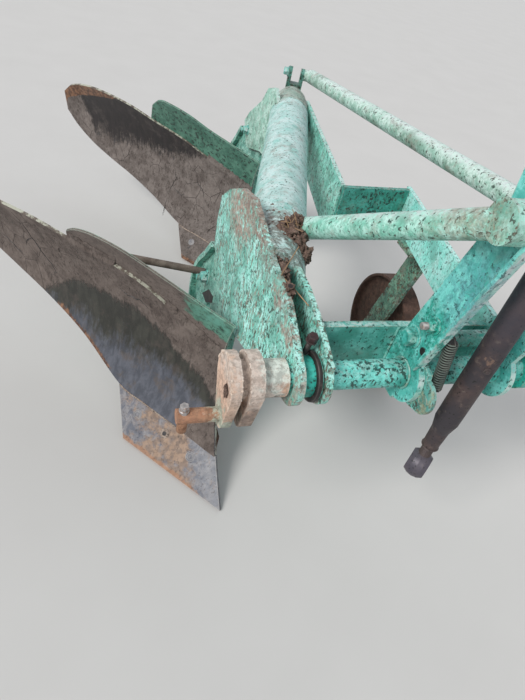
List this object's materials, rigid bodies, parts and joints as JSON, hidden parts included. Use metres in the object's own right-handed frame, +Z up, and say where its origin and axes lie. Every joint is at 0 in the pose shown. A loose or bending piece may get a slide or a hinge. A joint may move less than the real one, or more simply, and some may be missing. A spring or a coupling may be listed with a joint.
{
  "type": "moldboard plough",
  "caption": "Two-furrow mounted moldboard plough with a round slanting beam, cranked hitch shaft, mast, struts, depth wheel and hanging top link.",
  "frame": {"origin": "centre of the underside of the whole plough's bounding box, on the ground plane", "axes": "+Y towards the rear of the plough, +X towards the unploughed land (the plough's left), +Z up"},
  "size_m": [1.4806, 2.0374, 1.1629],
  "materials": {
    "green_paint": "worn, chipped and rust-specked",
    "worn_steel": "soil-polished steel under dried mud",
    "rusty_steel": "rusted bare steel",
    "dark_steel": "dark brown, greasy"
  },
  "bodies": {
    "frame": {"beam_tube": "green_paint", "beam_cone": "green_paint", "beam_lug": "green_paint", "cheek_right": "green_paint", "cheek_left": "green_paint", "cross_member": "green_paint", "side_bar": "green_paint", "rear_bar": "green_paint", "brace_bar": "green_paint", "mast_plate_right": "green_paint", "mast_plate_left": "green_paint", "mast_spacer": "green_paint", "top_link_pin": "rusty_steel", "pin_sleeve_right": "green_paint", "pin_sleeve_left": "green_paint", "strut_short": "green_paint", "strut_long": "green_paint", "spring": "dark_steel", "cross_shaft": "green_paint", "clamp_ring": "green_paint", "crank_right": "rusty_steel", "crank_left": "green_paint", "shaft_collar": "green_paint", "adjuster_rod": "rusty_steel", "front_share": "worn_steel", "front_moldboard": "worn_steel", "front_cover_board": "green_paint", "front_frog": "rusty_steel", "front_leg": "green_paint", "front_landside": "rusty_steel", "front_stay": "green_paint", "rear_share": "worn_steel", "rear_moldboard": "worn_steel", "rear_cover_board": "green_paint", "rear_frog": "rusty_steel", "rear_leg": "green_paint", "rear_landside": "rusty_steel", "rear_stay": "green_paint", "rear_bracket": "green_paint", "wheel_arm": "green_paint", "wheel_axle": "dark_steel"},
    "wheel": {"depth_wheel": "rusty_steel"},
    "link": {"top_link_tube": "dark_steel", "top_link_end_upper": "dark_steel", "top_link_end_lower": "dark_steel"}
  },
  "joints": [
    {"name": "wheel_spin", "type": "hinge", "parent": "frame", "child": "wheel", "pos_m": [0.5981, -0.26531, 0.182], "axis": [1, 0, 0], "continuous": true},
    {"name": "top_link_swing", "type": "hinge", "parent": "frame", "child": "link", "pos_m": [0.3021, -0.93731, 1.118], "axis": [1, 0, 0], "range_deg": [-95, 0]}
  ]
}
